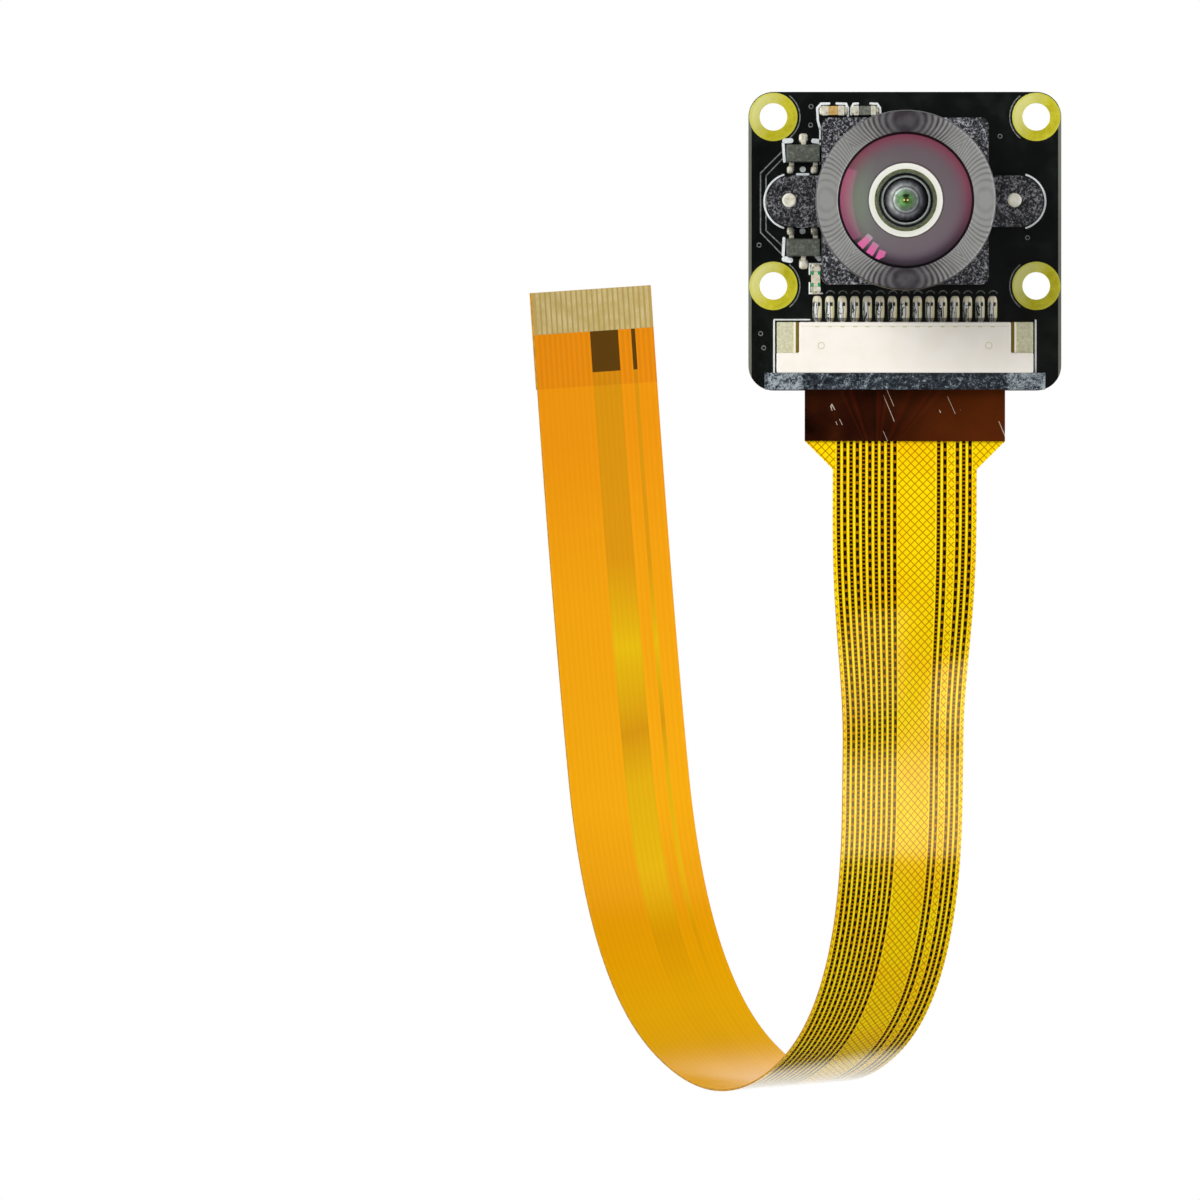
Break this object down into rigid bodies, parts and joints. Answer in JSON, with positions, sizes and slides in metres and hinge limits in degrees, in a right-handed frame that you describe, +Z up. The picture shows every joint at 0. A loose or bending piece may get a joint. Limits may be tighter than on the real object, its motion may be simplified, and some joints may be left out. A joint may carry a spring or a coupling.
{
  "type": "camera module",
  "caption": "Camera board with a wide-angle screw-in lens in a moulded holder, a latched flat-cable connector, mounting holes and its bent flat cable.",
  "frame": {"origin": "middle of the four mounting holes, on the back face of the circuit board", "axes": "+Z up along the board towards the edge away from the cable, +X to the right seen from the lens side, the lens looks along -Y"},
  "size_m": [0.0426, 0.0546, 0.0801],
  "materials": {
    "board_laminate": "black solder mask over glass-epoxy laminate",
    "gold_plating": "thin gold over copper",
    "black_moulding": "moulded, spark-eroded texture",
    "screw_steel": "nickel-plated steel",
    "silicon": "polished die",
    "optical_glass": "polished",
    "filter_glass": "polished, coated",
    "coated_glass": "polished dome with an anti-reflection coating",
    "ivory_nylon": "moulded",
    "slate_nylon": "moulded",
    "solder": "reflowed solder",
    "tinned_contacts": "tin plate over copper alloy",
    "package_epoxy": "moulded",
    "capacitor_ceramic": "fired",
    "grey_ceramic": "fired",
    "lamp_resin": "clear cast resin",
    "anodised_aluminium": "turned and black anodised",
    "blackened_foil": "blackened",
    "polyimide_film": "amber polyimide film over copper",
    "brown_stiffener": "brown polyimide sheet",
    "gold_contacts": "gold over nickel"
  },
  "bodies": {
    "camera_board": {"circuit_board": "board_laminate", "hole_pads": "gold_plating", "lens_holder": "black_moulding", "holder_screws": "screw_steel", "image_sensor": "silicon", "sensor_glass": "optical_glass", "infrared_filter": "filter_glass", "connector_housing": "ivory_nylon", "contact_pads": "solder", "connector_contacts": "tinned_contacts", "connector_tabs": "tinned_contacts", "upper_regulator": "package_epoxy", "upper_regulator_leads": "tinned_contacts", "lower_regulator": "package_epoxy", "lower_regulator_leads": "tinned_contacts", "capacitor": "capacitor_ceramic", "capacitor_ends": "tinned_contacts", "grey_chip": "grey_ceramic", "grey_chip_ends": "tinned_contacts", "chip_lamp": "lamp_resin", "chip_lamp_ends": "tinned_contacts", "flex_cable": "polyimide_film", "plug_stiffener": "brown_stiffener", "plug_contacts": "gold_contacts", "tail_stiffener": "brown_stiffener", "tail_contacts": "gold_contacts"},
    "latch": {"connector_latch": "slate_nylon"},
    "lens": {"lens_barrel": "anodised_aluminium", "front_cap": "anodised_aluminium", "front_lens": "coated_glass", "spacer_ring": "anodised_aluminium", "second_lens": "optical_glass", "third_lens": "optical_glass", "aperture_stop": "blackened_foil", "rear_lens": "optical_glass", "rear_ring": "anodised_aluminium"}
  },
  "joints": [
    {"name": "latch_slide", "type": "slide", "parent": "camera_board", "child": "latch", "axis": [0, 0, -1], "range_m": [0, 0.001]},
    {"name": "lens_focus", "type": "hinge", "parent": "camera_board", "child": "lens", "pos_m": [0, -0.0092, 0], "axis": [0, -1, 0], "range_deg": [-180, 180]}
  ]
}
